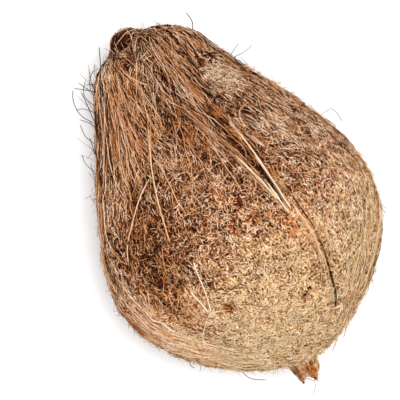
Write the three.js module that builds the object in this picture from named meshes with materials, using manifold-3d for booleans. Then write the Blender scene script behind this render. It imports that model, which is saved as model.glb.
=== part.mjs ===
// A whole husked coconut lying on its side, in millimetres with +Z up.
// The nut grew as one piece: a pear-shaped body with three long ridges, a woody stem knob at the
// narrow end under the tuft of husk fibre, and a torn beak of fibre at the round end.
// Stations are measured along +X from the stem knob, and the origin ends up at the centre of the
// bounding box's bottom, on the plane that the nut rests on.
import * as THREE from "three";
import { mergeVertices } from "three/addons/utils/BufferGeometryUtils.js";
import Module from "manifold-3d";

// Driving dimensions of the body's outline: stations along the axis and the radius there.
const NOSE_STATION = 1.5;
const SHOULDER_STATION = 13.7;
const SHOULDER_RADIUS = 22.2;
const WIDEST_STATION = 90.2;
const WIDEST_RADIUS = 53.9;
const END_STATION = 143.6;

// The three ridges where the carpels of the flower joined.
const RIDGE_COUNT = 3;
const TOP_RIDGE_ANGLE = THREE.MathUtils.degToRad(26);
const RIDGE_HALF_ANGLE = THREE.MathUtils.degToRad(11);
const RIDGE_RISE = 0.018;
const ROUNDED_TRIANGLE = 0.012;

// How the nut lies: its narrow end dips a little, and its belly is flat where it touches the table.
const NOSE_DIP = THREE.MathUtils.degToRad(6);
const RESTING_SPOT_DEPTH = 2.2;

// The stem knob, a short woody stub that the tuft closes round.
const KNOB_RADIUS = 6.2;
const KNOB_OFFSET = -1.6;

// The beak of torn fibre at the round end: a hollow prong and a thin one beside it.
const BEAK_OFFSET = -2.6;
const BEAK_RADIUS = 4.2;
const BEAK_REACH = 7.8;
const BEAK_HOLLOW_RADIUS = 1.5;
const SPLINTER_OFFSET = -7.2;
const SPLINTER_RADIUS = 2.2;
const SPLINTER_REACH = 6.4;

// How finely the shapes are faceted.
const OUTLINE_STEPS = 36;
const ROUND_STEPS = 78;
const SMALL_ROUND_STEPS = 16;

const wasm = await Module();
wasm.setup();

// A three.js geometry as a solid that can be joined and cut.
function solidFrom(geometry) {
  const bare = geometry.clone();
  bare.deleteAttribute("normal");
  bare.deleteAttribute("uv");
  const merged = mergeVertices(bare, 1e-3);
  return new wasm.Manifold(
    new wasm.Mesh({
      numProp: 3,
      vertProperties: merged.attributes.position.array,
      triVerts: new Uint32Array(merged.index.array),
    }),
  );
}

// A solid as a three.js geometry again.
function geometryFrom(solid) {
  const { vertProperties, triVerts } = solid.getMesh();
  const geometry = new THREE.BufferGeometry();
  geometry.setAttribute("position", new THREE.BufferAttribute(vertProperties, 3));
  geometry.setIndex(new THREE.BufferAttribute(triVerts, 1));
  return geometry;
}

// A profile of radius and station, turned round the X axis.
function turnedAlongX(profile, steps) {
  return new THREE.LatheGeometry(profile, steps).rotateZ(-Math.PI / 2);
}

// The outline from nose to round end: a blunt nose, a long flank and a round end drawn in a little.
function bodyOutline() {
  const at = (station, radius) => new THREE.Vector2(radius, station);
  const outline = new THREE.CurvePath();
  outline.add(
    new THREE.CubicBezierCurve(
      at(NOSE_STATION, 0),
      at(NOSE_STATION, 6),
      at(SHOULDER_STATION - 6.4, SHOULDER_RADIUS - 3),
      at(SHOULDER_STATION, SHOULDER_RADIUS),
    ),
  );
  outline.add(
    new THREE.CubicBezierCurve(
      at(SHOULDER_STATION, SHOULDER_RADIUS),
      at(SHOULDER_STATION + 34, SHOULDER_RADIUS + 15.8),
      at(WIDEST_STATION - 26, WIDEST_RADIUS),
      at(WIDEST_STATION, WIDEST_RADIUS),
    ),
  );
  outline.add(
    new THREE.CubicBezierCurve(
      at(WIDEST_STATION, WIDEST_RADIUS),
      at(WIDEST_STATION + 33, WIDEST_RADIUS),
      at(END_STATION, 13.3),
      at(END_STATION, 0),
    ),
  );
  return outline.getSpacedPoints(OUTLINE_STEPS);
}

// How far the skin stands out at an angle round the axis, as a share of the outline's radius.
function sectionFactor(angle) {
  const spacing = (2 * Math.PI) / RIDGE_COUNT;
  const turns = (angle - TOP_RIDGE_ANGLE) / spacing;
  const fromRidge = (turns - Math.round(turns)) * spacing;
  const keel = RIDGE_RISE * Math.exp(-((fromRidge / RIDGE_HALF_ANGLE) ** 2));
  return 1 + ROUNDED_TRIANGLE * Math.cos(RIDGE_COUNT * fromRidge) + keel;
}

function body() {
  const geometry = turnedAlongX(bodyOutline(), ROUND_STEPS);
  const position = geometry.attributes.position;
  for (let i = 0; i < position.count; i += 1) {
    const y = position.getY(i);
    const z = position.getZ(i);
    const factor = sectionFactor(Math.atan2(y, z));
    position.setY(i, y * factor);
    position.setZ(i, z * factor);
  }
  return solidFrom(geometry);
}

function stemKnob() {
  const knob = new THREE.SphereGeometry(KNOB_RADIUS, SMALL_ROUND_STEPS, SMALL_ROUND_STEPS / 2);
  knob.translate(KNOB_RADIUS, KNOB_OFFSET, 0);
  return solidFrom(knob);
}

// A thorn-shaped prong that starts inside the round end and narrows to a blunt point.
function prong(radius, reach, offset, lean) {
  const root = 6;
  const profile = [
    new THREE.Vector2(0, -root),
    new THREE.Vector2(radius * 1.3, -root),
    new THREE.Vector2(radius, 0),
    new THREE.Vector2(radius * 0.72, reach * 0.5),
    new THREE.Vector2(radius * 0.2, reach * 0.95),
    new THREE.Vector2(0, reach),
  ];
  const geometry = turnedAlongX(profile, SMALL_ROUND_STEPS);
  geometry.rotateZ(lean);
  geometry.translate(END_STATION, offset, 0);
  return solidFrom(geometry);
}

// The open hollow in the upper side of the beak.
function beakHollow() {
  const hollow = new THREE.SphereGeometry(BEAK_HOLLOW_RADIUS, SMALL_ROUND_STEPS, SMALL_ROUND_STEPS / 2);
  hollow.scale(1.7, 1, 1.1);
  hollow.translate(END_STATION + BEAK_REACH * 0.32, BEAK_OFFSET + 0.2, BEAK_RADIUS * 0.86);
  return solidFrom(hollow);
}

// The whole nut with its axis along X, before it is laid down.
function wholeNut() {
  const splinterLean = THREE.MathUtils.degToRad(8);
  const grown = body()
    .add(stemKnob())
    .add(prong(BEAK_RADIUS, BEAK_REACH, BEAK_OFFSET, 0))
    .add(prong(SPLINTER_RADIUS, SPLINTER_REACH, SPLINTER_OFFSET, splinterLean))
    .subtract(beakHollow());
  return geometryFrom(grown);
}

// The space below a level plane, which cuts the resting spot.
function spaceBelow(height) {
  const side = 400;
  const block = new THREE.BoxGeometry(side, side, side);
  block.translate(WIDEST_STATION, 0, height - side / 2);
  return solidFrom(block);
}

// Moves a geometry so that its box's bottom centre is at the origin.
function standOnOrigin(geometry) {
  geometry.computeBoundingBox();
  const { min, max } = geometry.boundingBox;
  geometry.translate(-(min.x + max.x) / 2, -(min.y + max.y) / 2, -min.z);
}

const lying = wholeNut().rotateY(-NOSE_DIP);
lying.computeBoundingBox();
const restingPlane = lying.boundingBox.min.z + RESTING_SPOT_DEPTH;
const nut = geometryFrom(solidFrom(lying).subtract(spaceBelow(restingPlane)));
standOnOrigin(nut);
nut.computeVertexNormals();

const husk = new THREE.MeshStandardMaterial({ color: 0xb98e63, roughness: 0.9, metalness: 0 });
const coconut = new THREE.Mesh(nut, husk);
coconut.name = "coconut";

const part = new THREE.Group();
part.name = "husked_coconut";
part.add(coconut);

export default part;
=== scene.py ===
import math
import random

import bmesh
import bpy
from mathutils import Matrix, Vector, noise
from mathutils.bvhtree import BVHTree


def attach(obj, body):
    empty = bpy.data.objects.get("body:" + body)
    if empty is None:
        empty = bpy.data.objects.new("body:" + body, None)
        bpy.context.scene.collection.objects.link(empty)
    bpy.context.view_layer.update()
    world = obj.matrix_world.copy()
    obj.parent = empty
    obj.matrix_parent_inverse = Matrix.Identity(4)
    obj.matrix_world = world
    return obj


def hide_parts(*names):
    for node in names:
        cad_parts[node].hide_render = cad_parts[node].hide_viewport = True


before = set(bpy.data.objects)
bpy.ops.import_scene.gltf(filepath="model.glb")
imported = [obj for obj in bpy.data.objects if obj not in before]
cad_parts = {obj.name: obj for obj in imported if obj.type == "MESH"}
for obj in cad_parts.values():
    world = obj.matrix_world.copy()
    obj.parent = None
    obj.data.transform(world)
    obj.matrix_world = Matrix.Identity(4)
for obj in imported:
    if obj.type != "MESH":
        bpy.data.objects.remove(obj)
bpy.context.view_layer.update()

# ---------------------------------------------------------------------------------------------
# Skin of the nut. The real skin is a thin felt of coir fibre left on the hard shell when the
# husk is torn off: lumpy, furrowed along the nut, with three long ridges. It grew in one piece
# and carries everything below.
# ---------------------------------------------------------------------------------------------
mm = 0.001
nose_dip = math.radians(6)
beak_tip_station = 151.4 * mm
beak_tip_aside = -2.6 * mm

cad_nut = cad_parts["coconut"]
along = Vector((math.cos(nose_dip), 0, math.sin(nose_dip)))
across = Vector((0, 1, 0))
upward = Vector((-math.sin(nose_dip), 0, math.cos(nose_dip)))
beak_tip = max((v.co for v in cad_nut.data.vertices), key=lambda co: co.x).copy()
axis_start = beak_tip - along * beak_tip_station - across * beak_tip_aside
# Places ahead of the stem end are counted from here along X, seen from straight above.
plan_start = axis_start.x - 0.4 * mm

# The nut is looked at from high over it, and these run to the right and up in that view.
view_right = Vector((0.485, 0.875, 0))
view_up = Vector((-0.875, 0.485, 0))
viewing_height = 1.8


def in_frame(station, aside, height):
    """The point of the frame at a station along the nut's axis, aside of it and above it."""
    return axis_start + along * station + across * aside + upward * height


def in_nut(point):
    """Station, aside and height of a point of the frame."""
    offset = point - axis_start
    return Vector((offset.dot(along), offset.dot(across), offset.dot(upward)))


def fade(distance, reach):
    """1 at distance 0, falling smoothly to 0 at reach."""
    share = max(0.0, 1 - distance / reach)
    return share * share * (3 - 2 * share)


def past(station, start, blend):
    """0 up to a station, rising smoothly to 1 over the blend that follows it."""
    return 1 - fade(max(0.0, station - start), blend)


def plan_distance(point, line):
    """How far a point is, seen from straight above, from a line of places (ahead, aside) in mm."""
    spot = Vector((point.x - plan_start, point.y))
    nearest = 1.0
    for first, last in zip(line, line[1:]):
        a = Vector(first) * mm
        b = Vector(last) * mm
        share = max(0.0, min(1.0, (spot - a).dot(b - a) / (b - a).length_squared))
        nearest = min(nearest, (spot - a.lerp(b, share)).length)
    return nearest


def new_object(name, data):
    """An object of the scene."""
    made = bpy.data.objects.new(name, data)
    bpy.context.scene.collection.objects.link(made)
    return made


def as_mesh(maker):
    """A new mesh of an object's final shape."""
    depsgraph = bpy.context.evaluated_depsgraph_get()
    return bpy.data.meshes.new_from_object(maker.evaluated_get(depsgraph))


weld_distance = 0.02 * mm
merged = bmesh.new()
merged.from_mesh(cad_nut.data)
bmesh.ops.remove_doubles(merged, verts=merged.verts, dist=weld_distance)
skin_mesh = bpy.data.meshes.new("nut_skin")
merged.to_mesh(skin_mesh)
merged.free()
skin = new_object("nut_skin", skin_mesh)

rounding = skin.modifiers.new("rounding", "SUBSURF")
rounding.levels = 2
rounding.render_levels = 2
fine_mesh = as_mesh(skin)
skin.modifiers.remove(rounding)
skin.data = fine_mesh
bpy.data.meshes.remove(skin_mesh)
fine_mesh.name = "nut_skin"

lump_size = 24 * mm
lump_height = 0.9 * mm
clump_size = 6 * mm
clump_height = 0.6 * mm
nap_size = 2.2 * mm
nap_height = 0.45 * mm
furrow_length = 30 * mm
furrow_width = 2.6 * mm
furrow_depth = 0.5 * mm
girth_scale = 30 * mm
resting_height = 1.5 * mm
# The felt lies a little inside the smooth shape, to leave room for the fibres on it.
set_back = 0.5 * mm
flank_set_back = 0.9 * mm
flank_station = 70 * mm
flank_aside = -44 * mm
flank_half_length = 76 * mm
flank_half_width = 30 * mm
# Towards the beak the relief dies away, and the larger of the two prongs leans aside.
beak_start = 138 * mm
beak_blend = 6 * mm
beak_smoothness = 0.9
prong_root = 142 * mm
prong_blend = 3 * mm
prong_set_back = 1.0 * mm
prong_lean_root = 141 * mm
prong_lean = 1.0 * mm
splinter_aside = -5.2 * mm

# Lines on the upper side, as places ahead of the stem end and aside of the axis, in mm.
ridge_line = ((22, 3), (46, 13), (68, 21), (90, 24), (108, 26), (124, 24), (136, 14))
ridge_reach = 5 * mm
ridge_height = 1.0 * mm
groove_line = ((32, 11.6), (41, 12.7), (50, 14), (58, 15.6), (66, 17.3), (74, 18.8), (82, 20.4))
groove_reach = 2.4 * mm
groove_depth = 1.3 * mm
crack_line = ((82, 23.5), (88, 24.5), (100, 25.5), (109, 24.5), (119, 22.5), (126, 20.5), (130, 18))
crack_reach = 1.0 * mm
crack_depth = 0.6 * mm
stem_hollow = ((5.5, -4.0), (9.5, -3.5))
stem_hollow_reach = 4.6 * mm
stem_hollow_depth = 3.6 * mm
pit = ((119.5, 12.5), (121.5, 10.5))
pit_reach = 1.6 * mm
pit_depth = 1.2 * mm


def skin_relief(place, point):
    """How far the felt stands out over the smooth shape."""
    girth = Vector((place.y, place.z)).normalized() * girth_scale
    elsewhere = Vector((9, 4, 2))
    lumps = noise.noise(point / lump_size) * lump_height
    clumps = noise.noise(point / clump_size + elsewhere) * clump_height
    nap = noise.turbulence(point / nap_size, 2, False) * nap_height
    along_nut = Vector((place.x / furrow_length, girth.x / furrow_width, girth.y / furrow_width))
    furrows = noise.noise(along_nut) * furrow_depth
    return lumps + clumps + nap + furrows


def marks(place, point):
    """The ridge, groove, crack, pit and stem hollow of the upper side."""
    if place.z < 0:
        return 0.0
    ridge = fade(plan_distance(point, ridge_line), ridge_reach) * ridge_height
    groove = fade(plan_distance(point, groove_line), groove_reach) * groove_depth
    crack = fade(plan_distance(point, crack_line), crack_reach) * crack_depth
    hollow = fade(plan_distance(point, stem_hollow), stem_hollow_reach) * stem_hollow_depth
    hole = fade(plan_distance(point, pit), pit_reach) * pit_depth
    return ridge - groove - crack - hollow - hole


normals = [v.normal.copy() for v in fine_mesh.vertices]
for vertex, normal in zip(fine_mesh.vertices, normals):
    place = in_nut(vertex.co)
    at_beak = past(place.x, beak_start, beak_blend)
    at_rest = fade(vertex.co.z, resting_height)
    beside_flank = fade(abs(place.y - flank_aside), flank_half_width)
    at_flank = beside_flank * fade(abs(place.x - flank_station), flank_half_length)
    keep = (1 - beak_smoothness * at_beak) * (1 - at_rest)
    stand_out = (skin_relief(place, vertex.co) + marks(place, vertex.co)) * keep
    stand_out -= set_back + flank_set_back * at_flank
    stand_out -= prong_set_back * past(place.x, prong_root, prong_blend)
    vertex.co += normal * stand_out * (1 - at_rest)
    if place.y > splinter_aside:
        vertex.co += across * prong_lean * past(place.x, prong_lean_root, prong_blend)
    vertex.co.z = max(vertex.co.z, 0)
fine_mesh.update()
for polygon in fine_mesh.polygons:
    polygon.use_smooth = True

skin_tree = BVHTree.FromObject(skin, bpy.context.evaluated_depsgraph_get())
# Where to look for the skin from, in mm off the axis: far outside it, or close to the axis.
far_out = 90
close_in = 20


def on_skin(station, angle):
    """The skin's point and normal at a station and at an angle (degrees) from the top towards +Y."""
    turn = math.radians(angle)
    outward = across * math.sin(turn) + upward * math.cos(turn)
    on_axis = in_frame(station, 0, 0)
    point, normal, _, _ = skin_tree.ray_cast(on_axis + outward * far_out * mm, -outward)
    if point is None:
        point, normal, _, _ = skin_tree.find_nearest(on_axis + outward * close_in * mm)
    return point, normal


nut_middle = in_frame(76 * mm, 0, 0)
far_below = -1
# The middle of the view lies a little off the nut's own.
view_middle = nut_middle - view_right * 10.2 * mm + view_up * 1.6 * mm
viewpoint = view_middle + Vector((0, 0, viewing_height))


def skin_at(ahead, aside, below=False):
    """The skin's point at a place of the plan, seen from the viewpoint or from straight below."""
    spot = Vector((plan_start + ahead, aside, nut_middle.z))
    eye = Vector((spot.x, spot.y, far_below)) if below else viewpoint
    point, _, _, _ = skin_tree.ray_cast(eye, (spot - eye).normalized())
    if point is None:
        spot.z = axis_start.z + ahead * math.tan(nose_dip)
        point, _, _, _ = skin_tree.find_nearest(spot)
    return point


def feed(tree, node, inputs):
    """Sets a node's inputs to values, or links them from sockets."""
    for name, value in inputs.items():
        if isinstance(value, bpy.types.NodeSocket):
            tree.links.new(value, node.inputs[name])
        else:
            node.inputs[name].default_value = value


def add_node(tree, kind, inputs, **settings):
    """A shader node with its settings and its inputs."""
    made = tree.nodes.new("ShaderNode" + kind)
    for name, value in settings.items():
        setattr(made, name, value)
    feed(tree, made, inputs)
    return made


def new_group(name, inputs, outputs):
    """A shader node group with named sockets, and its input and output nodes."""
    tree = bpy.data.node_groups.new(name, "ShaderNodeTree")
    for socket, kind in inputs:
        tree.interface.new_socket(socket, in_out="INPUT", socket_type=kind)
    for socket, kind in outputs:
        tree.interface.new_socket(socket, in_out="OUTPUT", socket_type=kind)
    return tree, tree.nodes.new("NodeGroupInput"), tree.nodes.new("NodeGroupOutput")


def calc(tree, operation, first, second=0.5, third=0.5, clamp=False):
    """A Math node's output."""
    values = {0: first, 1: second, 2: third}
    return add_node(tree, "Math", values, operation=operation, use_clamp=clamp).outputs[0]


def add_up(tree, *parts):
    """The sum of sockets and values, as a socket."""
    total = parts[0]
    for part in parts[1:]:
        total = calc(tree, "ADD", total, part)
    return total


def scaled_noise(tree, vector, scale, detail, amount, distortion=0.0):
    """Noise round 0 with an amount from its lowest to its highest value, as a socket."""
    values = {"Vector": vector, "Scale": scale, "Detail": detail, "Distortion": distortion}
    made = add_node(tree, "TexNoise", values)
    return calc(tree, "MULTIPLY_ADD", made.outputs["Fac"], amount, -0.5 * amount)


def smooth_step(tree, value, start, end, amount=1.0):
    """0 where a value is at its start, rising smoothly to the amount at its end, as a socket."""
    values = {"Value": value, "From Min": start, "From Max": end, "To Max": amount}
    return add_node(tree, "MapRange", values, interpolation_type="SMOOTHSTEP").outputs[0]


# Where a zone's oval begins and where it is full, as shares of its half length.
zone_edge = 1.25
zone_core = 0.45

# Zones of the felt, each an oval patch of the upper or the lower side: ahead of the stem end,
# aside of the axis, half length and half width, all in mm, and how much it adds.
pale_above = (
    (34, 24, 13, 8, 0.50),
    (108, -43, 32, 14, 0.26),
    (90, 46, 40, 9, 0.12),
    (92, -10, 16, 12, 0.06),
    (30, -10, 14, 16, 0.06),
    (57, 32, 20, 9, 0.16),
    (60, 10, 13, 5, -0.10),
    (57, -25, 20, 12, -0.10),
    (78, -35, 24, 12, -0.16),
    (90, -22.5, 8, 6, -0.12),
    (70, -2, 9, 7, 0.12),
    (50, 1, 14, 7, -0.12),
    (88, 5, 14, 10, 0.05),
    (125, -12, 16, 26, 0.06),
    (10, 5, 8, 9, -0.10),
    (20, 11, 14, 8, -0.13),
    (106, -27, 13, 9, 0.16),
    (111, 23, 18, 7, -0.15),
    (96, 34, 24, 14, 0.06),
    (52, -40, 24, 14, 0.05),
    (108, 38, 12, 9, -0.03),
)
pale_below = (
    (40, 20, 20, 14, -0.12),
    (66, 24, 22, 14, 0.14),
    (60, -20, 24, 14, -0.10),
    (88, 0, 26, 16, -0.12),
    (104, 26, 14, 12, 0.10),
    (104, -24, 14, 12, -0.08),
    (124, 4, 12, 16, 0.08),
)
warm_above = (
    (30, -14, 30, 22, 0.40),
    (44, 2, 16, 9, 0.45),
    (20, 11, 15, 9, 0.40),
    (60, -2, 22, 14, 0.25),
    (80, -34, 40, 16, 0.60),
    (106, 23, 24, 6, 0.50),
    (84, 26, 26, 5, 0.30),
)
# Small sharp spots: the pit and a stained spot; the hollow behind the stem and the one in the beak; and the
# groove beside the ridge. The pit, both hollows and the groove are darkened with painted shade.
spots_and_painted_shade = (
    (119.2, 13.1, 1.3, 1.2, -0.60),
    (120.3, 11.3, 1.6, 1.3, -0.75),
    (121.0, 9.4, 1.2, 1.3, -0.55),
    (118.0, 10.2, 1.4, 0.9, -0.30),
    (121.6, 13.6, 1.6, 1.4, 0.30),
    (111, -17.5, 2.4, 1.9, -0.60),
    (5, -4, 4.2, 3.4, -0.55),
    (9.5, -3.5, 3.6, 2.2, -0.45),
    (146.4, -1.6, 2.6, 1.3, -0.34),
    (32, 11.6, 6, 2.4, -0.26),
    (41, 12.7, 6, 2.6, -0.32),
    (49, 13.8, 6, 2.8, -0.44),
    (57, 15.2, 6, 2.4, -0.46),
    (65, 17.0, 6, 1.8, -0.46),
    (72, 18.2, 6, 1.2, -0.38),
    (79, 19.8, 5, 0.8, -0.36),
    (65, 9.5, 6, 1.8, -0.18),
    (46, 23, 5, 4, -0.24),
)
warm_spots = (
    (111, -17.5, 3, 2.6, 1.4),
    (120.5, 11.5, 3, 2.4, 0.5),
    (147, -3, 6, 6, 0.6),
    (146.4, -1.6, 3.0, 1.7, 2.4),
    (94, 18.5, 8, 2.6, 0.9),
    (44, 14, 9, 4, 0.8),
    (56, 15.5, 9, 3.4, 0.9),
    (68, 17.6, 8, 2.4, 0.9),
    (34, 12, 6, 4, 0.7),
    (63, 37, 4, 2, 0.8),
)
warm_below = (
    (60, 16, 26, 20, 0.4),
    (92, -24, 30, 16, 0.4),
    (30, 0, 20, 20, 0.4),
)
grey_above = (
    (34, 24, 13, 9, 0.75),
    (58, 32, 22, 10, 0.22),
    (130, -11, 9, 8, 0.45),
    (128, -26, 9, 7, 0.45),
    (105, 5, 7, 6, 0.30),
    (128, 7, 8, 6, 0.30),
    (70, -2, 14, 10, 0.15),
    (125, -14, 12, 22, 0.30),
    (90, -22.5, 8, 6, 0.15),
    (46, -8, 10, 8, 0.20),
)
grey_below = (
    (66, 24, 20, 14, 0.5),
    (120, 0, 14, 18, 0.4),
)


def from_centre(tree, place, centre, size):
    """Places measured from a centre along the dipping nut, in units of a size, as a socket."""
    values = {"Vector": place, "Location": centre, "Rotation": (0, -nose_dip, 0), "Scale": size}
    return add_node(tree, "Mapping", values, vector_type="TEXTURE").outputs[0]


def zone_sum(tree, place, above, below=()):
    """The sum of soft oval patches on the upper and the lower side, as a socket."""
    patches = []
    ovals = [(zone, False) for zone in above] + [(zone, True) for zone in below]
    for (ahead, aside, half_length, half_width, amount), underneath in ovals:
        centre = skin_at(ahead * mm, aside * mm, underneath)
        size = (half_length * mm, half_width * mm, half_width * mm)
        oval = from_centre(tree, place, centre, size)
        reach = add_node(tree, "VectorMath", {0: oval}, operation="LENGTH").outputs["Value"]
        patches.append(smooth_step(tree, reach, zone_edge, zone_core, amount))
    return add_up(tree, *patches)


# How the felt turns from dark, warm husk to pale, straw-coloured husk: with the station, and more
# slowly on the -Y flank. Each scale is the noise's own, in waves to the metre.
flank_delay = 0.7
husk_start = 44 * mm
husk_end = 122 * mm
sway_reach = 0.016
wide_scale = 26.0
blotch_scale = 130.0
dark_paleness = 0.33
ripening = 0.43
dark_warmth = 0.42
cooling = -0.38
dark_straw = -0.34
straw_ripening = 1.10

coir_inputs = ("Paleness", "Warmth", "Greyness", "Straw")
zone_names = (*coir_inputs, "Ripeness")
zones, zones_in, zones_out = new_group(
    "husk_zones",
    [("Place", "NodeSocketVector")],
    [(name, "NodeSocketFloat") for name in zone_names],
)
zone_place = zones_in.outputs["Place"]
blotch = add_node(zones, "TexNoise", {"Vector": zone_place, "Scale": blotch_scale, "Detail": 3.0})
sway = add_node(zones, "VectorMath", {0: blotch.outputs["Color"], 1: (0.5,) * 3}, operation="SUBTRACT")
sway_inputs = {0: sway.outputs[0], 1: (sway_reach,) * 3, 2: zone_place}
swayed = add_node(zones, "VectorMath", sway_inputs, operation="MULTIPLY_ADD").outputs[0]

split_place = add_node(zones, "SeparateXYZ", {0: swayed})
flank = calc(zones, "MINIMUM", split_place.outputs["Y"], 0.0)
lean = calc(zones, "MULTIPLY_ADD", flank, flank_delay, split_place.outputs["X"])
wide_noise = scaled_noise(zones, zone_place, scale=wide_scale, detail=1.0, amount=0.040)
lean = add_up(zones, lean, wide_noise)
ripe = smooth_step(zones, lean, plan_start + husk_start, plan_start + husk_end)

paleness = add_up(
    zones,
    calc(zones, "MULTIPLY_ADD", ripe, ripening, dark_paleness),
    zone_sum(zones, swayed, pale_above, pale_below),
    zone_sum(zones, zone_place, spots_and_painted_shade),
    scaled_noise(zones, zone_place, scale=70.0, detail=3.0, amount=0.30),
    scaled_noise(zones, zone_place, scale=260.0, detail=2.0, amount=0.50),
)
stains = zone_sum(zones, zone_place, warm_spots)
warmth = add_up(
    zones,
    calc(zones, "MULTIPLY_ADD", ripe, cooling, dark_warmth),
    zone_sum(zones, swayed, warm_above, warm_below),
    stains,
    scaled_noise(zones, zone_place, scale=180.0, detail=2.0, amount=1.2),
)
greyness = add_up(
    zones,
    zone_sum(zones, swayed, grey_above, grey_below),
    scaled_noise(zones, zone_place, scale=220.0, detail=2.0, amount=0.9),
)
unstained_straw = calc(zones, "MULTIPLY_ADD", ripe, straw_ripening, dark_straw)
straw = add_up(
    zones,
    calc(zones, "SUBTRACT", unstained_straw, stains),
    scaled_noise(zones, zone_place, scale=360.0, detail=2.0, amount=2.7),
)
for name, amount in zip(zone_names, (paleness, warmth, greyness, straw, ripe)):
    zones.links.new(amount, zones_out.inputs[name])

# The colours of coir from the darkest root to the palest strand.
coir_colours = (
    (0.00, (0.012, 0.0010, 0.0002)),
    (0.16, (0.060, 0.0065, 0.0012)),
    (0.34, (0.190, 0.0350, 0.0065)),
    (0.52, (0.375, 0.1260, 0.0400)),
    (0.70, (0.590, 0.3150, 0.1330)),
    (0.86, (0.760, 0.5450, 0.3300)),
    (1.00, (0.910, 0.7650, 0.5900)),
)
# What tints them: the tint's zone, its shadow and its own colour.
coir_tints = (
    ("Warmth", (0.030, 0.008, 0.004, 1), (0.560, 0.192, 0.045, 1)),
    ("Greyness", (0.040, 0.016, 0.010, 1), (0.560, 0.445, 0.310, 1)),
    ("Straw", (0.040, 0.010, 0.002, 1), (0.590, 0.420, 0.195, 1)),
)
tint_strength = 0.6
tint_brightness = 1.7

colours, colours_in, colours_out = new_group(
    "coir_colour",
    [(name, "NodeSocketFloat") for name in coir_inputs],
    [("Colour", "NodeSocketColor")],
)
scale_of_coir = add_node(colours, "ValToRGB", {"Fac": colours_in.outputs["Paleness"]})
ramp = scale_of_coir.color_ramp
while len(ramp.elements) < len(coir_colours):
    ramp.elements.new(0.5)
for element, (position, colour) in zip(ramp.elements, coir_colours):
    element.position = position
    element.color = (*colour, 1)
coir_tint = scale_of_coir.outputs["Color"]
bright = calc(colours, "MULTIPLY", colours_in.outputs["Paleness"], tint_brightness)
for name, shadow, tint in coir_tints:
    tint_inputs = {"Fac": bright, "Color1": shadow, "Color2": tint}
    tinted = add_node(colours, "MixRGB", tint_inputs, use_clamp=True)
    share = calc(colours, "MULTIPLY", colours_in.outputs[name], tint_strength, clamp=True)
    mix_inputs = {"Fac": share, "Color1": coir_tint, "Color2": tinted.outputs[0]}
    coir_tint = add_node(colours, "MixRGB", mix_inputs).outputs[0]
colours.links.new(coir_tint, colours_out.inputs["Colour"])


def place_group(tree, group, inputs):
    """The outputs of a node group placed in a tree, with its inputs linked or set."""
    placed = tree.nodes.new("ShaderNodeGroup")
    placed.node_tree = group
    feed(tree, placed, inputs)
    return placed.outputs


def coir_colour(tree, *amounts):
    """The colour of coir for a paleness, warmth, greyness and straw, as a socket."""
    return place_group(tree, colours, dict(zip(coir_inputs, amounts)))["Colour"]


def new_material(name, roughness, specular):
    """A material with a Principled shader, its node tree, the shader and the Object coordinates."""
    material = bpy.data.materials.new(name)
    material.use_nodes = True
    tree = material.node_tree
    shader = tree.nodes["Principled BSDF"]
    shader.inputs["Roughness"].default_value = roughness
    shader.inputs["Specular IOR Level"].default_value = specular
    place = tree.nodes.new("ShaderNodeTexCoord").outputs["Object"]
    return material, tree, shader, place


def roughen(tree, shader, height, strength, distance):
    """A bump on a material's shader."""
    values = {"Height": height, "Strength": strength, "Distance": distance}
    bump = add_node(tree, "Bump", values)
    tree.links.new(bump.outputs["Normal"], shader.inputs["Normal"])


grain_scale = 1500.0
streak_stretch = (3, 1, 1)
felt_contrast = 1.3
# The felt is painted darker than the fibres over it, as shade in the gaps between them.
felt_gap_shade = -0.42
# The dark specks of the felt are painted shade in its gaps.
speck_scale = 1300.0
speck_start = 0.52
speck_end = 0.68
speck_shade = -0.52

felt, felt_tree, felt_shader, felt_place = new_material("coir_felt", roughness=0.95, specular=0.05)
felt_zones = place_group(felt_tree, zones, {"Place": felt_place})
streaked = from_centre(felt_tree, felt_place, (0, 0, 0), streak_stretch)
flecks = scaled_noise(felt_tree, felt_place, grain_scale, detail=1.0, amount=2.4, distortion=0.8)
streaks = scaled_noise(felt_tree, streaked, grain_scale, detail=1.0, amount=1.5)
grain = add_up(felt_tree, flecks, streaks)
# Painted shade: the felt is darker than the fibres, to show the gaps between them as dark.
felt_paleness = calc(felt_tree, "MULTIPLY_ADD", felt_zones["Paleness"], felt_contrast, felt_gap_shade)
felt_paleness = add_up(felt_tree, felt_paleness, grain)
# Dark specks of painted shade, in the gaps where the felt is open to the shell.
speck_inputs = {"Vector": streaked, "Scale": speck_scale, "Detail": 1.0}
speck_noise = add_node(felt_tree, "TexNoise", speck_inputs).outputs["Fac"]
shade_specks = smooth_step(felt_tree, speck_noise, speck_start, speck_end)
felt_paleness = calc(felt_tree, "MULTIPLY_ADD", shade_specks, speck_shade, felt_paleness)
felt_tints = (felt_zones["Warmth"], felt_zones["Greyness"], felt_zones["Straw"])
felt_colour = coir_colour(felt_tree, felt_paleness, *felt_tints)
felt_tree.links.new(felt_colour, felt_shader.inputs["Base Color"])
roughen(felt_tree, felt_shader, grain, strength=0.7, distance=0.25 * mm)

skin.data.materials.clear()
skin.data.materials.append(felt)
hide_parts("coconut")
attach(skin, "root")

# ---------------------------------------------------------------------------------------------
# Matted fibres. Short broken ends of coir, a few millimetres long and a quarter of a millimetre
# thick, lie pressed over the whole skin and are matted into it: mostly lengthwise near the stem
# and in all directions at the round end.
# ---------------------------------------------------------------------------------------------
# One source of chance with a fixed seed lays every fibre, so each run gives the same nut.
luck = random.Random(7)

# Every fibre is swept with this three-sided section.
fibre_sides = 3
section = bpy.data.curves.new("fibre_section", "CURVE")
section.dimensions = "2D"
outline = section.splines.new("POLY")
outline.points.add(fibre_sides - 1)
for i in range(fibre_sides):
    turn = 2 * math.pi * i / fibre_sides
    outline.points[i].co = (math.cos(turn), math.sin(turn), 0, 1)
outline.use_cyclic_u = True
section_object = new_object("fibre_section", section)


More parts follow.
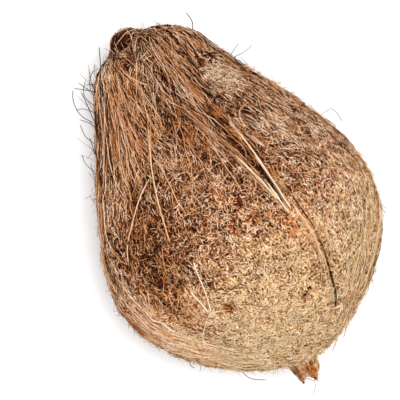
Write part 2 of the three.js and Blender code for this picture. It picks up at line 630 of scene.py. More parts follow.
def around_nut(point):
    """The direction round the nut's axis at a point."""
    return along.cross(point - axis_start).normalized()


def heading_at(point, sideways):
    """The nut's own direction, turned sideways by an angle at a point."""
    return along * math.cos(sideways) + around_nut(point) * math.sin(sideways)


def laid_down(heading, normal):
    """A heading laid down on the skin, square to its normal."""
    return (heading - normal * heading.dot(normal)).normalized()


def laid_strand(start, heading, length, steps, curl, wander, lift):
    """A fibre that follows the skin from a point of it, turning as it goes, with a lift at each step."""
    point, normal, _, _ = skin_tree.find_nearest(start)
    path = [point + normal * lift(0.0)]
    stride = length / (steps - 1)
    turn = curl
    for i in range(1, steps):
        heading = laid_down(heading, normal)
        turn += luck.gauss(0, wander)
        heading = Matrix.Rotation(turn * stride, 3, normal) @ heading
        point, normal, _, _ = skin_tree.find_nearest(point + heading * stride)
        path.append(point + normal * lift(i / (steps - 1)))
    return path


def curved_mesh(name, strands):
    """The strands as one curve object swept with the section, made a mesh."""
    curve = bpy.data.curves.new(name, "CURVE")
    curve.dimensions = "3D"
    curve.bevel_mode = "OBJECT"
    curve.bevel_object = section_object
    for path, radius, _ in strands:
        spline = curve.splines.new("POLY")
        spline.points.add(len(path) - 1)
        spline.points.foreach_set("co", [c for point in path for c in (*point, 1)])
        spline.points.foreach_set("radius", [0, *[radius] * (len(path) - 2), 0])
    maker = new_object(name, curve)
    mesh = as_mesh(maker)
    bpy.data.objects.remove(maker)
    bpy.data.curves.remove(curve)
    mesh.name = name
    return mesh


least_gap = 0.02 * mm
tip_weld = 0.0001 * mm
cell_margin = 0.12


def sound_strands(strands):
    """The strands kept off the table, without those that have two points in one place."""
    sound = []
    for path, radius, tone in strands:
        for point in path:
            point.z = max(point.z, radius + least_gap)
        if min((b - a).length for a, b in zip(path, path[1:])) > least_gap:
            sound.append((path, radius, tone))
    return sound


def fibre_piece(name, strands, material):
    """One mesh of many fibres, each (path, radius, tone), with its own cell of the UV map."""
    strands = sound_strands(strands)
    mesh = curved_mesh(name, strands)

    tones, alongs, cells, sides_at = [], [], [], []
    for k, (path, _, tone) in enumerate(strands):
        count = len(path)
        tones += [tone] * (count * fibre_sides)
        alongs += [i / (count - 1) for i in range(count) for _ in range(fibre_sides)]
        cells += [k] * (count * fibre_sides)
        sides_at += list(range(fibre_sides)) * count
    if len(tones) != len(mesh.vertices):
        raise ValueError(f"{name} has {len(mesh.vertices)} vertices, and its fibres {len(tones)}")
    mesh.attributes.new("tone", "FLOAT", "POINT").data.foreach_set("value", tones)

    cells_across = math.ceil(math.sqrt(len(strands)))
    cell_room = 1 - 2 * cell_margin
    uv_map = mesh.uv_layers.new(name="OFBake")
    uvs = []
    for polygon in mesh.polygons:
        corners = list(polygon.vertices)
        sides = [sides_at[v] for v in corners]
        wraps = max(sides) - min(sides) == fibre_sides - 1
        for v in corners:
            row, column = divmod(cells[v], cells_across)
            side = sides_at[v] + (fibre_sides if wraps and sides_at[v] == 0 else 0)
            u = cell_margin + cell_room * alongs[v]
            w = cell_margin + cell_room * side / fibre_sides
            uvs += [(column + u) / cells_across, (row + w) / cells_across]
    uv_map.data.foreach_set("uv", uvs)
    mesh.polygons.foreach_set("use_smooth", [True] * len(mesh.polygons))
    closed = bmesh.new()
    closed.from_mesh(mesh)
    bmesh.ops.remove_doubles(closed, verts=closed.verts, dist=tip_weld)
    closed.to_mesh(mesh)
    closed.free()
    mesh.materials.clear()
    mesh.materials.append(material)
    piece = new_object(name, mesh)
    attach(piece, "root")


mottle_scale = 1350.0
ripe_evenness = 0.25


def fibre_material(name, follow, shift, spread, mottle, warmth, roughness, specular):
    """Coir that follows the skin's paleness, spread from strand to strand and mottled along each."""
    material, tree, shader, place = new_material(name, roughness, specular)
    below = place_group(tree, zones, {"Place": place})
    tone = add_node(tree, "Attribute", {}, attribute_name="tone").outputs["Fac"]
    swing = calc(tree, "SUBTRACT", tone, 0.5)
    unevenness = calc(tree, "MULTIPLY_ADD", below["Ripeness"], -ripe_evenness * spread, spread)
    pale = calc(tree, "MULTIPLY_ADD", swing, unevenness, shift)
    pale = calc(tree, "MULTIPLY_ADD", below["Paleness"], follow, pale)
    pale = add_up(tree, pale, scaled_noise(tree, place, mottle_scale, detail=1.0, amount=mottle))
    warm = add_up(tree, below["Warmth"], warmth)
    colour = coir_colour(tree, pale, warm, below["Greyness"], below["Straw"])
    tree.links.new(colour, shader.inputs["Base Color"])
    return material


matted = fibre_material(
    "matted_coir", follow=1.0, shift=0.02, spread=1.75, mottle=1.5, warmth=0.0, roughness=0.95, specular=0.04
)

# A bare patch beside the tuft, where the felt is short and no long fibre lies.
bare_patch = ((28, 22), (40, 26))
bare_reach = 9.5 * mm
bare_edge = 0.35


def bareness(point):
    """1 in the middle of the bare patch and 0 away from it."""
    if point.z < nut_middle.z:
        return 0
    return fade(plan_distance(point, bare_patch), bare_reach)


matted_pieces = 5
matted_in_piece = 10600
matted_steps = 4
# The fibres lie straightest at this place ahead of the stem end. They are more tangled away from it,
# most of all in the round end's half and under the roots of the tuft.
straight_place = 42 * mm
straight_reach = 40 * mm
# Each measure of a fibre that lies straight, and how much a full tangle adds to it: the spread of
# its heading, its least and greatest length in mm, and how much it curls and wanders.
heading_spread = (0.30, 0.80)
least_length = (5, -2.7)
greatest_length = (12, -6.8)
curl_spread = (30, 100)
wander_spread = (12, 18)
skin_faces = skin.data.polygons
face_areas = [face.area for face in skin_faces]


def with_tangle(measure, tangle):
    """A measure of a matted fibre for how tangled it is."""
    straight, added = measure
    return straight + added * tangle


for number in range(matted_pieces):
    strands = []
    for index in luck.choices(range(len(skin_faces)), weights=face_areas, k=matted_in_piece):
        start = skin_faces[index].center
        from_straight = start.x - plan_start - straight_place
        tangle = max(1 - fade(from_straight, straight_reach), bareness(start))
        heading = heading_at(start, luck.gauss(0, with_tangle(heading_spread, tangle)))
        least = with_tangle(least_length, tangle)
        length = luck.uniform(least, with_tangle(greatest_length, tangle)) * mm
        crown = luck.uniform(0.05, 0.45) * mm
        sink = luck.uniform(-0.05, 0.15) * mm
        path = laid_strand(
            start,
            heading,
            length,
            matted_steps,
            curl=luck.gauss(0, with_tangle(curl_spread, tangle)),
            wander=with_tangle(wander_spread, tangle),
            lift=lambda t: crown * math.sin(math.pi * t) - sink,
        )
        strands.append((path, luck.uniform(0.08, 0.16) * mm, luck.random()))
    fibre_piece(f"matted_fibres_{number + 1}", strands, matted)

# ---------------------------------------------------------------------------------------------
# Stem knob. What is left of the woody stem: a dark, smooth, rounded rim at the narrow end that
# half closes round a hollow.
# ---------------------------------------------------------------------------------------------
knob_radius = 7.0 * mm
knob_centre = Vector((plan_start + 5.4 * mm, -2.6 * mm, in_frame(5 * mm, 0, 3.5 * mm).z))
knob_dent = Vector((plan_start + 8.5 * mm, -3.5 * mm, knob_centre.z + 8 * mm))
knob_dent_reach = 8 * mm
knob_dent_depth = 4.5 * mm
bark_size = 1.6 * mm
bark_height = 0.2 * mm
bulge_size = 6 * mm
bulge_height = 0.5 * mm

knob_shape = bmesh.new()
bmesh.ops.create_icosphere(knob_shape, subdivisions=5, radius=knob_radius)
bmesh.ops.translate(knob_shape, verts=knob_shape.verts, vec=knob_centre)
for vertex in knob_shape.verts:
    outward = (vertex.co - knob_centre).normalized()
    crust = noise.turbulence(vertex.co / bark_size, 2, False) * bark_height
    bulge = noise.noise(vertex.co / bulge_size) * bulge_height
    dent = fade((vertex.co - knob_dent).length, knob_dent_reach) * knob_dent_depth
    vertex.co += outward * (crust + bulge - dent)
for face in knob_shape.faces:
    face.smooth = True
knob_mesh = bpy.data.meshes.new("stem_knob")
knob_shape.to_mesh(knob_mesh)
knob_shape.free()
knob = new_object("stem_knob", knob_mesh)

# The knob follows half the felt's paleness, so the painted shade of the hollow behind the stem darkens it
# too.
bark_follow = 0.5
bark_darkening = -0.17
bark_warmth = 0.4

bark, bark_tree, bark_shader, bark_place = new_material("stem_bark", roughness=0.8, specular=0.06)
bark_zones = place_group(bark_tree, zones, {"Place": bark_place})
bark_grain = scaled_noise(bark_tree, bark_place, scale=900.0, detail=3.0, amount=0.7)
bark_blotch = scaled_noise(bark_tree, bark_place, scale=300.0, detail=2.0, amount=0.3)
bark_shade = add_up(bark_tree, bark_grain, bark_blotch)
bark_shade = calc(bark_tree, "MULTIPLY_ADD", bark_zones["Paleness"], bark_follow, bark_shade)
bark_shade = add_up(bark_tree, bark_shade, bark_darkening)
bark_colour = coir_colour(bark_tree, bark_shade, bark_warmth, 0.0, 0.0)
bark_tree.links.new(bark_colour, bark_shader.inputs["Base Color"])
roughen(bark_tree, bark_shader, bark_grain, strength=0.6, distance=0.3 * mm)
knob_mesh.materials.append(bark)
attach(knob, "root")

# From here on the fibres lie over the knob as well as the skin.
nut_shape = bmesh.new()
nut_shape.from_mesh(fine_mesh)
nut_shape.from_mesh(knob_mesh)
skin_tree = BVHTree.FromBMesh(nut_shape)
nut_shape.free()

# ---------------------------------------------------------------------------------------------
# Tuft over the stem end. Long husk fibres that were not torn off: they spring from round the
# stem knob, lie down along the nut and fan out, longest on top, on the -Y side and underneath.
# ---------------------------------------------------------------------------------------------
tuft_coir = fibre_material(
    "tuft_coir", follow=0.55, shift=0.01, spread=2.4, mottle=0.6, warmth=0.15, roughness=0.9, specular=0.04
)

tuft_pieces = 3
tuft_in_piece = 2800
tuft_steps = 10
least_tuft_length = 9 * mm
# How far the tuft comes along the nut, in mm: everywhere, and more on three sides. Each side is an
# angle round the nut and its spread, in degrees, and its share of the extra length.
tuft_base = 27
tuft_extra = 38
tuft_sides = ((-50, 75, 1), (8, 45, 0.85), (180, 70, 0.8))
knob_top = ((-0.5, -3.5), (6.5, -3.5))
knob_clearance = 5.0 * mm


def degrees_apart(a, b):
    """The angle between two directions, in degrees from 0 to 180."""
    return abs((a - b + 180) % 360 - 180)


def tuft_reach(angle):
    """How far along the nut the tuft comes at an angle round it."""
    longest = max(share * fade(degrees_apart(angle, side), spread) for side, spread, share in tuft_sides)
    return (tuft_base + tuft_extra * longest) * mm


for number in range(tuft_pieces):
    strands = []
    for _ in range(tuft_in_piece):
        angle = luck.uniform(-180, 180)
        root = abs(luck.gauss(0, 9)) * mm + 2 * mm
        start, _ = on_skin(root, angle)
        reach = tuft_reach(angle) * luck.uniform(0.4, 1.1)
        above_axis = start.z > in_frame(root, 0, 0).z
        if above_axis and plan_distance(start, knob_top) < knob_clearance:
            continue
        drift = luck.gauss(0, 0.13) + 0.10 * math.sin(math.radians(angle - 5))
        height = luck.uniform(0.1, 1.5) * mm
        path = laid_strand(
            start,
            heading_at(start, drift),
            max(least_tuft_length, reach - root),
            tuft_steps,
            curl=luck.gauss(0, 3),
            wander=5,
            lift=lambda t: height * min(1, t * 5) * (1 - t) ** 0.6 + 0.1 * mm,
        )
        width = luck.uniform(0.08, 0.18) * mm
        tone = luck.random()
        if max(bareness(point) for point in path) < bare_edge:
            strands.append((path, width, tone))
    fibre_piece(f"tuft_fibres_{number + 1}", strands, tuft_coir)

# ---------------------------------------------------------------------------------------------
# Bundles. Sheaves of long fibre that run together: the golden one that crosses the nut from the
# stem to the upper ridge, the ones along the ridge, along both flanks and round to the beak.
# ---------------------------------------------------------------------------------------------
bundle_coir = fibre_material(
    "bundle_coir", follow=0.6, shift=0.22, spread=1.2, mottle=0.6, warmth=0.2, roughness=0.85, specular=0.04
)


def smooth_line(places, steps):
    """Points evenly placed along a smooth curve through the places given."""
    ends = [places[0] * 2 - places[1], *places, places[-1] * 2 - places[-2]]
    line = []
    for i in range(steps):
        at = i * (len(places) - 1) / (steps - 1)
        k = min(int(at), len(places) - 2)
        t = at - k
        a, b, c, d = ends[k : k + 4]
        line.append(
            b
            + (c - a) * (0.5 * t)
            + (a * 2 - b * 5 + c * 4 - d) * (0.5 * t * t)
            + (b * 3 - a - c * 3 + d) * (0.5 * t * t * t)
        )
    return line


def line_above(places, steps=40):
    """A smooth line on the skin through places (ahead, aside) of the plan, in mm."""
    plan = smooth_line([Vector(place) * mm for place in places], steps)
    return [skin_at(spot.x, spot.y) for spot in plan]


def line_round(places, steps=40):
    """A smooth line on the skin through places (station in mm, angle in degrees)."""
    plan = smooth_line([Vector(place) for place in places], steps)
    return [on_skin(spot.x * mm, spot.y)[0] for spot in plan]


def strand_beside(line, first, last, steps, sideways, lift):
    """A fibre that runs beside a line on the skin, from one share of its length to another."""
    path = []
    for i in range(steps):
        t = i / (steps - 1)
        at = max(0.0, min(1.0, first + (last - first) * t)) * (len(line) - 1)
        k = min(int(at), len(line) - 2)
        point = line[k].lerp(line[k + 1], at - k)
        ahead = (line[k + 1] - line[k]).normalized()
        _, normal, _, _ = skin_tree.find_nearest(point)
        point, normal, _, _ = skin_tree.find_nearest(point + ahead.cross(normal) * sideways(t))
        path.append(point + normal * lift(t))
    return path


sheaf_steps = 14


def sheaf(line, count, width, height, share, radii, tones):
    """Fibres beside a line, each over a share of it, within a width and a height of it."""
    strands = []
    for _ in range(count):
        first = luck.uniform(0, 1 - share)
        last = min(1, first + share * luck.uniform(0.8, 1.6))
        offset = luck.gauss(0, width)
        slant = luck.gauss(0, 0.35 * width)
        wave = luck.uniform(0, 6)
        top = luck.uniform(0.05, 1) * height
        path = strand_beside(
            line,
            first,
            last,
            sheaf_steps,
            lambda t: offset + slant * t + 0.15 * width * math.sin(wave + 7 * t),
            lambda t: top * math.sin(math.pi * min(0.95, t + 0.05)) ** 0.5 + 0.1 * mm,
        )
        strands.append((path, luck.uniform(*radii) * mm, luck.uniform(*tones)))
    return strands


def bundle_piece(name, sheaves):
    """One piece of sheaves, each with its line, how many fibres, the sheaf's width and height in mm,
    a fibre's share of the line, its thinnest and thickest radius in mm and its range of tones."""
    strands = []
    for line, count, width, height, share, radii, tones in sheaves:
        strands += sheaf(line, count, width * mm, height * mm, share, radii, tones)
    fibre_piece(name, strands, bundle_coir)


golden_line = line_above(
    ((6, -6), (16, -3.5), (25, -1), (31, 0.8), (40, 5.8), (58, 12.4), (67, 15), (82, 18.6), (90, 20.6))
)
ridge_run = line_above(((44, 15), (54, 18), (67, 20.5), (79, 21.5), (92, 22.5), (106, 24), (120, 21)))
groove_run = line_above(groove_line)
crack_run = line_above(crack_line)
crack_side = line_above(((84, 22.4), (92, 23.6), (101, 24.2), (109, 23.4), (116, 21.8)))
bundle_piece(
    "ridge_bundle",
    (
        (golden_line, 34, 1.5, 1.2, 0.35, (0.09, 0.18), (-0.1, 1.1)),
        (ridge_run, 26, 1.6, 0.5, 0.25, (0.09, 0.16), (0.0, 0.9)),
        # The groove's fibres are dark-toned: painted shade beside the ridge.
        (groove_run, 90, 0.9, 0.3, 0.25, (0.10, 0.18), (-1.0, 0.2)),
        (crack_run, 40, 0.19, 0.4, 0.3, (0.10, 0.17), (-0.5, 0.05)),
        (crack_side, 10, 0.25, 0.6, 0.4, (0.10, 0.18), (0.6, 1.3)),
    ),
)

right_edge = line_round(((55, 80), (72, 84), (90, 84), (108, 82), (122, 76), (134, 66)))
right_low_edge = line_round(((86, 70), (104, 66), (120, 60), (132, 58), (140, 56)))
left_edge = line_round(((12, -78), (30, -80), (50, -82), (70, -84), (88, -80)))
left_low_edge = line_round(((84, -76), (100, -70), (116, -64), (130, -56), (140, -44)))
left_far_edge = line_round(((70, -92), (90, -90), (108, -84), (124, -76), (136, -60)))
bundle_piece(
    "flank_bundles",
    (
        (right_edge, 46, 2.6, 0.9, 0.35, (0.12, 0.24), (-0.3, 1.2)),
        (right_low_edge, 34, 3.0, 0.5, 0.35, (0.10, 0.18), (-0.1, 1.0)),
        (left_edge, 80, 4.5, 0.9, 0.35, (0.10, 0.20), (-0.1, 1.1)),
        (left_low_edge, 90, 5.0, 0.4, 0.3, (0.10, 0.18), (0.2, 1.2)),
        (left_far_edge, 80, 4.5, 0.4, 0.3, (0.10, 0.18), (0.2, 1.2)),
    ),
)

# ---------------------------------------------------------------------------------------------
# Loose strands. Single thick fibres that lie over the felt or arch off it, some of them curled,
# and the short ones that cross the hollow behind the stem.
# ---------------------------------------------------------------------------------------------
loose_coir = fibre_material(
    "loose_coir", follow=0.25, shift=0.48, spread=0.70, mottle=0.5, warmth=0.05, roughness=0.65, specular=0.15
)

# Each strand: places (ahead, aside) in mm, thickness in mm, height of its arch in mm, tone.
loose_strands = (
    (((48.1, 17), (55, 18.4), (62.1, 19.6), (72.5, 20.6), (83, 21.3), (89.8, 21.7)), 0.58, 1.4, 1.25),
    (((64, 19.2), (76, 20.7), (88, 21.3)), 0.56, 1.2, 1.15),
    (((74, 18.4), (82, 19.2), (91.5, 20.4)), 0.62, 1.2, 1.25),
    (((60, 12.6), (68, 15.2), (76, 17.4), (84, 19.0)), 0.52, 1.2, 1.1),
    (((58, 11.5), (64, 13.6), (70, 15.3), (76, 16.6)), 0.36, 1.0, 0.95),
    (((40.5, -0.5), (44.5, -0.5), (48.5, -2), (53, -3.5), (57, -3.5), (62, -7)), 0.34, 1.0, 0.8),
    (((45.5, 0.5), (52, -0.5), (56.5, 0.5), (61.5, -0.5), (64.5, -1)), 0.32, 0.8, 0.7),
    (((43, 4.5), (49, 6.5), (56, 7.5), (63, 7.5), (69.5, 8.5), (75, 8.5)), 0.36, 1.0, 0.9),
    (((50.5, 6), (56, 8), (61.5, 9.5), (67, 10.5)), 0.36, 0.8, 0.9),
    (
        ((34, -10.2), (37.5, -11.4), (46.6, -15.9), (53.2, -18.3), (61.5, -21.1), (71, -23.3), (79.3, -25.1)),
        0.62,
        1.6,
        0.9,
    ),
    (((34, -9), (40, -12), (48.5, -16.5), (58.5, -20.5)), 0.36, 1.4, 0.8),
    (((45, -14.5), (49.5, -14.5), (54, -14), (63, -14.5), (67, -15), (70.5, -14)), 0.42, 0.9, 0.85),
    (((53, -19.5), (57.1, -25.8), (61.5, -30.5), (65.7, -34.6), (71, -39.3)), 0.50, 2.2, 1.35),
    (((71, -39.3), (74, -41), (77.4, -42.4)), 0.44, 0.8, 1.2),
    (((40, -23.5), (42, -26.5), (43.5, -29.5), (45, -32)), 0.32, 1.0, 0.9),
    (((30, -23.5), (35.5, -23.5), (39.5, -23.5)), 0.30, 0.8, 0.6),
    (((68.5, -47), (71.5, -45.5), (75.5, -44.5), (78, -43)), 0.32, 1.0, 0.8),
    (((61.5, -47.5), (63, -43.5), (66, -41.5)), 0.28, 1.2, 0.8),
    (((88.5, -20.5), (94, -21.5), (100, -22), (105, -23), (109, -24)), 0.48, 1.4, 1.2),
    (
        ((109, -24), (110.5, -26.5), (113.5, -29.5), (116.5, -32), (121, -32.5), (123.5, -29.5)),
        0.44,
        1.2,
        1.2,
    ),
    (((98.2, -27.1), (102, -26.3), (105, -25.5), (108.8, -24.9)), 0.72, 0.9, 1.15),
    (((93, -32), (95.5, -35), (99, -35.5), (101, -35.5)), 0.30, 0.8, 0.8),
    (((96.5, -31.5), (99.5, -33), (101.5, -34.5)), 0.28, 0.8, 0.8),
    (((90.5, -41), (93.5, -42.5), (97.5, -44), (100, -44.5)), 0.32, 0.8, 0.85),
    (((109, -24.5), (110.5, -20), (112, -17)), 0.38, 0.8, 1.1),
    (((78, -28), (83, -30.5), (89, -32)), 0.28, 0.6, 0.65),
    (((85, -15.5), (87, -17.5), (89.5, -18)), 0.30, 0.8, 0.9),
    (((85.5, -20.5), (87.5, -19.5)), 0.30, 0.6, 0.9),
    (((44, -11), (45.5, -10.5)), 0.50, 0.5, 1.3),
    (((30, -8.5), (32, -9), (34, -9.5), (34.5, -11)), 0.36, 0.8, 1.1),
    (((46, 27), (46.5, 25), (47, 22.5), (49.5, 21.5), (52.5, 21.5), (55, 22.5)), 0.32, 1.6, 0.9),
    (((52, 15), (54.5, 18.5), (56, 22.5), (59, 24.5), (63, 25.5), (71.5, 27)), 0.28, 1.0, 0.45),
    (((69.5, 3.5), (70.5, 6), (71, 8.5)), 0.28, 0.8, 0.8),
    (((102, 19), (101, 23), (100.5, 27)), 0.36, 1.6, 1.0),
    (((128, 4.5), (127.5, 9.5), (127, 15.5), (127, 18)), 0.34, 0.8, 0.6),
    (((5.5, -10), (10, -9), (15, -8.5), (20.5, -4.5), (23, -1.5)), 0.34, 2.0, 0.9),
    (((9, -11), (14, -12), (17.5, -13), (20.5, -14)), 0.36, 2.0, 0.95),
    (((4, -7.5), (9, -5.5), (14, -3.5), (22, -1)), 0.36, 3.4, 0.8),
    (((12, -4), (11.5, -0.5), (10.5, 3)), 0.34, 2.6, 0.9),
    (((13.5, -1), (12.5, 1.5), (13, 4.5)), 0.32, 2.0, 0.9),
    (((16, -1), (15.5, 2), (15, 4.5)), 0.30, 1.8, 0.7),
    (((8, 10), (11.5, 12), (15.5, 14), (19.5, 15.5)), 0.34, 1.4, 0.8),
    (((33, 12), (33, 20), (32.5, 28)), 0.24, 1.4, -0.7),
    (((85.5, 10), (89, 11.5), (92, 13.5), (97, 15)), 0.34, 0.5, -0.9),
)


def pulled_taut(path, rounds, clearance):
    """The path with its wobbles drawn straight, kept clear of the skin."""
    for _ in range(rounds):
        middle = [(a + b + c) / 3 for a, b, c in zip(path, path[1:], path[2:])]
        path = [path[0], *middle, path[-1]]
    clear = []
    for point in path:
        near, normal, _, _ = skin_tree.find_nearest(point)
        gap = (point - near).dot(normal)
        clear.append(point if gap > clearance else near + normal * clearance)
    return clear


loose_radius_share = 0.56
least_rise = 0.25

strands = []
for places, thickness, arch, tone in loose_strands:
    steps = 8 + 2 * len(places)
    path = []
    for i, point in enumerate(line_above(places, steps)):
        share = i / (steps - 1)
        rise = (least_rise + arch * (4 * share * (1 - share)) ** 0.7) * mm
        path.append(point + (viewpoint - point).normalized() * rise)
    taut = pulled_taut(path, 3, least_rise * mm)
    strands.append((taut, loose_radius_share * thickness * mm, tone))


def arched_end(start, sideways, rise, length, steps, curl, wander, radii, tones):
    """A loose end that arches off the skin, with each measure drawn from the range given."""
    heading = heading_at(start, luck.gauss(*sideways))
    height = luck.uniform(*rise) * mm
    path = laid_strand(
        start,
        heading,
        luck.uniform(*length) * mm,
        steps,
        curl=luck.gauss(0, curl),
        wander=wander,
        lift=lambda t: height * math.sin(math.pi * t) + 0.1 * mm,
    )
    return path, luck.uniform(*radii) * mm, luck.uniform(*tones)


# Ends that cross the hollow behind the stem, and then the curled ends all over the nut.
stem_ends = 12
curled_ends = 120
for _ in range(stem_ends):
    strands.append(
        arched_end(
            skin_at(luck.uniform(3, 12) * mm, luck.uniform(-9, 3) * mm),
            sideways=(0.2, 0.8),
            rise=(1.2, 3.4),
            length=(5, 13),
            steps=8,
            curl=40,
            wander=20,
            radii=(0.08, 0.13),
            tones=(-0.2, 0.6),
        )
    )
for _ in range(curled_ends):
    strands.append(
        arched_end(
            on_skin(luck.uniform(30, 138) * mm, luck.uniform(-180, 180))[0],
            sideways=(0, 1.1),
            rise=(0.4, 1.8),
            length=(5, 14),
            steps=10,
            curl=130,
            wander=60,
            radii=(0.09, 0.16),
            tones=(0.0, 0.8),
        )
    )
fibre_piece("loose_strands", strands, loose_coir)

# ---------------------------------------------------------------------------------------------
# Beak. A wisp of fibre torn off where the flower sat: fine fibres drawn together from the round
# end into a hollow, split nib and a thinner one beside it.
# ---------------------------------------------------------------------------------------------
beak_coir = fibre_material(
    "beak_coir", follow=0.4, shift=0.04, spread=1.1, mottle=0.8, warmth=0.60, roughness=0.8, specular=0.08
)

hollow_turn = math.radians(20)
hollow_half_width = math.radians(50)
nib_fibres = 110
nib_steps = 8
least_clearance = 0.1 * mm
# How far the nibs' sides bulge, and how far a fibre is lifted that would sink in, both in mm.
nib_bulge = 0.5
nib_lift = 0.15
# Each nib: the station of its tip, how far aside it is, the spread of the tips and the nib's
# radius, all in mm, and whether it has the hollow.
nibs = ((151.4, -2.3, 0.3, 2.9, True), (149.6, -7.6, 0.25, 1.5, False))

strands = []
for tip_station, tip_aside, wisp, girth, hollow in nibs:
    for _ in range(nib_fibres):
        turn = luck.uniform(-math.pi, math.pi)
        if hollow and abs(turn - hollow_turn) < hollow_half_width:
            continue
        back = luck.uniform(1.5, 10) * mm
        outward = across * math.sin(turn) + upward * math.cos(turn)
        start = in_frame(tip_station * mm - back, tip_aside * mm, 0) + outward * girth * mm
        start, _, _, _ = skin_tree.find_nearest(start)
        aim = in_frame(tip_station * mm + luck.uniform(-1.5, 1.2) * mm, tip_aside * mm, 0)
        aim += (across * luck.gauss(0, wisp) + upward * luck.gauss(0, wisp)) * mm
        path = []
        for i in range(nib_steps):
            share = i / (nib_steps - 1)
            point = start.lerp(aim, share) + outward * (nib_bulge * share * (1 - share)) * mm
            near, normal, _, _ = skin_tree.find_nearest(point)
            sunk = (point - near).dot(normal) < least_clearance
            path.append(near + normal * nib_lift * mm if sunk else point)
        strands.append((path, luck.uniform(0.07, 0.15) * mm, luck.uniform(-0.3, 1.0)))
# The rims of the hollow, as points (station, aside, height) in mm.
beak_rims = (
    ((141.5, 2.4, 4.6), (145.6, 1.6, 3.6), (148.8, 0.0, 2.0), (151.9, -2.2, 0.4)),
    ((141.2, 0.0, 5.2), (144.0, -2.0, 4.2), (146.6, -2.9, 2.9), (151.2, -2.6, 0.5)),
    ((142.0, -1.0, 4.8), (145.0, -3.4, 3.5), (148.0, -3.4, 1.9), (151.6, -2.6, 0.2)),
)
rim_steps = 14
rim_radius = 0.2 * mm
rim_tone = 1.25
for places in beak_rims:
    rim = smooth_line([in_frame(*(Vector(place) * mm)) for place in places], rim_steps)
    strands.append((pulled_taut(rim, 1, rim_radius), rim_radius, rim_tone))
fibre_piece("beak_fibres", strands, beak_coir)

# ---------------------------------------------------------------------------------------------
# Stray hairs. Fine dark fibres of coir that came loose at one end when the husk was torn off.
# They stand off the nut's outline, most of them round the tuft.
# ---------------------------------------------------------------------------------------------
hair_coir = fibre_material(
    "hair_coir", follow=0.2, shift=0.14, spread=0.55, mottle=0.5, warmth=0.10, roughness=0.6, specular=0.2
)
hair_steps = 8


def stray_hair(start, heading, normal, length, bow):
    """A fibre that leaves the skin and bows back or away, free in the air."""
    rise = luck.uniform(0.05, 0.6)
    swing = heading.cross(normal) * luck.gauss(0, 0.4)
    path = []
    for i in range(hair_steps):
        t = i / (hair_steps - 1)
        path.append(
            start
            + heading * (length * t)
            + normal * (length * (rise * t - bow * t * t))
            + swing * (length * t * t)
        )
    return path


# Each patch: station and angle at its middle (mm, degrees), spread of both, how many hairs, their
# length in mm, and how much they lean: above 0 to the round end, below 0 to the stem.
hair_patches = (
    (20, -84, 6, 10, 26, 11, -1.6),
    (34, -87, 8, 10, 22, 10, -1.0),
    (46, -88, 10, 8, 22, 7, -0.5),
    (8, -70, 5, 30, 20, 6, -1),
    (9, 50, 5, 40, 30, 5, -0.8),
    (30, 86, 6, 10, 22, 7, -0.3),
    (62, 88, 20, 8, 40, 4, 0.5),
    (92, 89, 20, 8, 44, 5, 0.8),
    (126, 82, 10, 18, 24, 6, 1),
    (100, -90, 30, 10, 50, 3.5, 0.6),
    (132, -70, 8, 26, 24, 3.5, 0.8),
    (20, 150, 14, 60, 40, 8, -0.5),
    (60, 180, 40, 90, 50, 4, 0.4),
    (146, 0, 3, 180, 18, 4.5, 1),
    (70, 0, 40, 60, 40, 4, 0.3),
)
patch_share = 0.6
strands = []
for station, angle, station_spread, angle_spread, count, length, lean_along in hair_patches:
    for _ in range(count):
        start, normal = on_skin(
            (station + luck.gauss(0, station_spread * patch_share)) * mm,
            angle + luck.gauss(0, angle_spread * patch_share),
        )
        heading = along * (lean_along + luck.gauss(0, 0.5)) + around_nut(start) * luck.gauss(0, 0.4)
        heading = laid_down(heading, normal)
        reach = length * luck.uniform(0.35, 1.25) * mm
        path = stray_hair(start, heading, normal, reach, bow=luck.uniform(-0.1, 0.6))
        strands.append((path, luck.uniform(0.06, 0.13) * mm, luck.uniform(0, 1)))
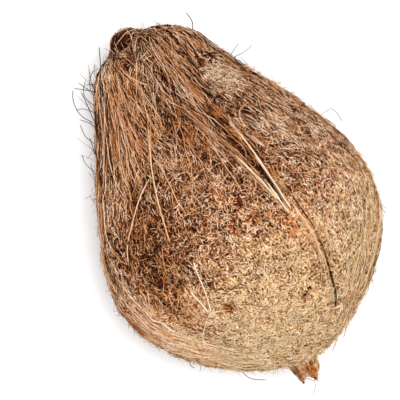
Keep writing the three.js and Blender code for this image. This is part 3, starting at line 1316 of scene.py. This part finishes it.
# Single hairs out beyond the outline: places (ahead, aside) in mm and thickness in mm.
free_hairs = (
    (((8.5, -16.5), (4.5, -14.6), (-0.6, -12.3)), 0.30),
    (((14.5, -21.9), (11.5, -25.5), (9.2, -28.6)), 0.26),
    (((15.2, -21.7), (12.2, -24.1), (7.9, -26)), 0.24),
    (((30.5, -25.6), (27.5, -26.9), (23, -27.9), (16.6, -27), (10.8, -26.8)), 0.30),
    (((26.5, -22.6), (22, -22.6), (16.4, -21.5), (11.4, -20.6), (10.2, -24.6)), 0.26),
    (((36.6, -34), (32.4, -33.1), (28.2, -32.2)), 0.26),
    (((29, -27.5), (24, -29.5), (20.5, -32.5)), 0.22),
    (((22, -25.5), (18, -29), (17, -32)), 0.22),
    (((20, -24), (15, -26.5), (11, -25.5), (8.6, -23)), 0.24),
    (((25, -28), (19, -31.5), (12.5, -31), (9, -28.8)), 0.28),
    (((33, -31), (27.5, -33.5), (22, -33)), 0.24),
    (((17, -23), (13, -23.4), (9, -21.5), (6.5, -18.5)), 0.24),
    (((41, -37), (36.5, -38.5), (32.5, -38)), 0.22),
    (((12, -19.5), (8, -19), (4.5, -17)), 0.22),
    (((11.2, 22.3), (8.2, 23.3), (4.2, 22.8)), 0.36),
    (((9.2, 15.5), (5.4, 13.1), (2.2, 10.8)), 0.26),
    (((8.5, 10), (5.2, 7.4), (3.4, 4)), 0.26),
    (((27.4, 29.2), (25.6, 32.3), (24.2, 35.1)), 0.26),
    (((28, 30), (28.4, 34.6), (27.4, 39.8)), 0.26),
    (((62, 53), (66, 54.5), (70, 54.6)), 0.26),
    (((118, -39), (122.6, -40.5), (124.4, -39.6)), 0.24),
    (((134, -24.6), (138.2, -23), (141.6, -17.8)), 0.24),
    (((136.6, 16.4), (141.4, 12.6), (144.6, 8.8)), 0.24),
    (((133, 23), (138.8, 18.3), (142.2, 15)), 0.22),
    (((149, -1.6), (152.8, -3.2), (155.2, -5.6)), 0.24),
    (((131.3, 24.8), (136.7, 16.9), (141.7, 11.4)), 0.34),
    (((134.8, 21.5), (137.3, 14.8), (141.9, 6.9)), 0.30),
)
free_hair_steps = 12
free_hair_clearance = 0.1 * mm
free_hair_radius_share = 0.68
free_hair_tone = -0.3
for places, thickness in free_hairs:
    free_path = smooth_line([Vector(place) * mm for place in places], free_hair_steps)
    height = luck.gauss(1.5, 4) * mm
    path = [Vector((plan_start + spot.x, spot.y, in_frame(spot.x, 0, height).z)) for spot in free_path]
    path[0] = skin_tree.find_nearest(path[0])[0]
    taut = pulled_taut(path, 1, free_hair_clearance)
    strands.append((taut, free_hair_radius_share * thickness * mm, free_hair_tone))
fibre_piece("stray_hairs", strands, hair_coir)

# ---------------------------------------------------------------------------------------------
# Fuzz. Short fine ends of coir that broke when the husk was torn off. They stand up all over the
# felt, thickest round the sides, and soften its outline.
# ---------------------------------------------------------------------------------------------
fuzz_coir = fibre_material(
    "fuzz_coir", follow=0.45, shift=0.50, spread=0.5, mottle=0.4, warmth=0.0, roughness=0.9, specular=0.04
)
fuzz_ends = 6500
fuzz_droop = 0.35
fuzz_shares = (0, 0.3, 0.6, 0.85, 1)
top_thinning = 1.15

strands = []
fuzz_weights = [face.area * (top_thinning - abs(face.normal.z)) ** 2 for face in skin_faces]
for index in luck.choices(range(len(skin_faces)), weights=fuzz_weights, k=fuzz_ends):
    start = skin_faces[index].center
    normal = skin_faces[index].normal
    heading = laid_down(heading_at(start, luck.uniform(-math.pi, math.pi)), normal)
    reach = luck.uniform(1.4, 4.0) * mm
    stand = luck.uniform(0.4, 1.0)
    path = []
    for t in fuzz_shares:
        height = reach * (stand * t - fuzz_droop * t * t)
        path.append(start + heading * (reach * t) + normal * height)
    strands.append((path, luck.uniform(0.05, 0.095) * mm, luck.random()))
fibre_piece("skin_fuzz", strands, fuzz_coir)

bpy.data.objects.remove(section_object)

# ---------------------------------------------------------------------------------------------
# Studio: a plain white table, one large soft light overhead and a camera that looks straight
# down on the nut.
# ---------------------------------------------------------------------------------------------
table_half_side = 3
table_mesh = bpy.data.meshes.new("table")
table_shape = bmesh.new()
bmesh.ops.create_grid(table_shape, x_segments=1, y_segments=1, size=table_half_side)
table_shape.to_mesh(table_mesh)
table_shape.free()
table = new_object("table", table_mesh)
table_top, _, table_shader, _ = new_material("table_white", roughness=0.9, specular=0.1)
table_shader.inputs["Base Color"].default_value = (0.93, 0.93, 0.935, 1)
table_mesh.materials.append(table_top)

softbox_height = 0.9
softbox_direction = (view_right * 0.09 + view_up * 0.03 + Vector((0, 0, 1))).normalized()
softbox = bpy.data.lights.new("softbox", "AREA")
softbox.shape = "SQUARE"
softbox.size = 0.35
softbox.energy = 9.4
softbox_object = new_object("softbox", softbox)
softbox_object.location = nut_middle + softbox_direction * softbox_height
softbox_object.rotation_euler = (-softbox_direction).to_track_quat("-Z", "Y").to_euler()

world = bpy.data.worlds.new("studio")
world.use_nodes = True
background = world.node_tree.nodes["Background"]
background.inputs["Color"].default_value = (1, 1, 1, 1)
background.inputs["Strength"].default_value = 0.85
bpy.context.scene.world = world
bpy.context.scene.view_settings.view_transform = "Standard"

view_width = 152 * mm
camera = bpy.data.cameras.new("camera")
camera.sensor_width = 36
camera.lens = camera.sensor_width * viewing_height / view_width
camera_object = new_object("camera", camera)
camera_object.location = viewpoint
camera_object.rotation_euler = (0, 0, math.atan2(view_right.y, view_right.x))
bpy.context.scene.camera = camera_object
